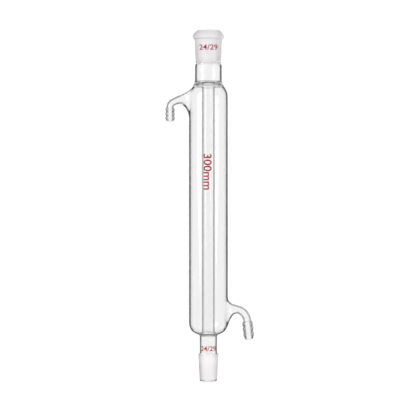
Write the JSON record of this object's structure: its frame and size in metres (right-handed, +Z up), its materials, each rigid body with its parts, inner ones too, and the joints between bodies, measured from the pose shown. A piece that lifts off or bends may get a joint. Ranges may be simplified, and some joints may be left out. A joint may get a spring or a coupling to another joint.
{
  "type": "glass condenser",
  "caption": "Straight-tube water-cooled glass condenser: a jacket round a plain inner tube, a ground socket and a ground cone, and bent hose arms.",
  "frame": {"origin": "on the table, under the middle of the tube's axis", "axes": "+Y along the tube to the socket, -Y to the cone, +Z up; the piece lies rolled until its jacket and the hose end of its lower arm touch the table"},
  "size_m": [0.1005, 0.42, 0.0468],
  "materials": {
    "glass": "clear borosilicate, fire polished, with the socket and the cone ground matt"
  },
  "bodies": {
    "root": {"condenser": "glass"}
  },
  "joints": []
}
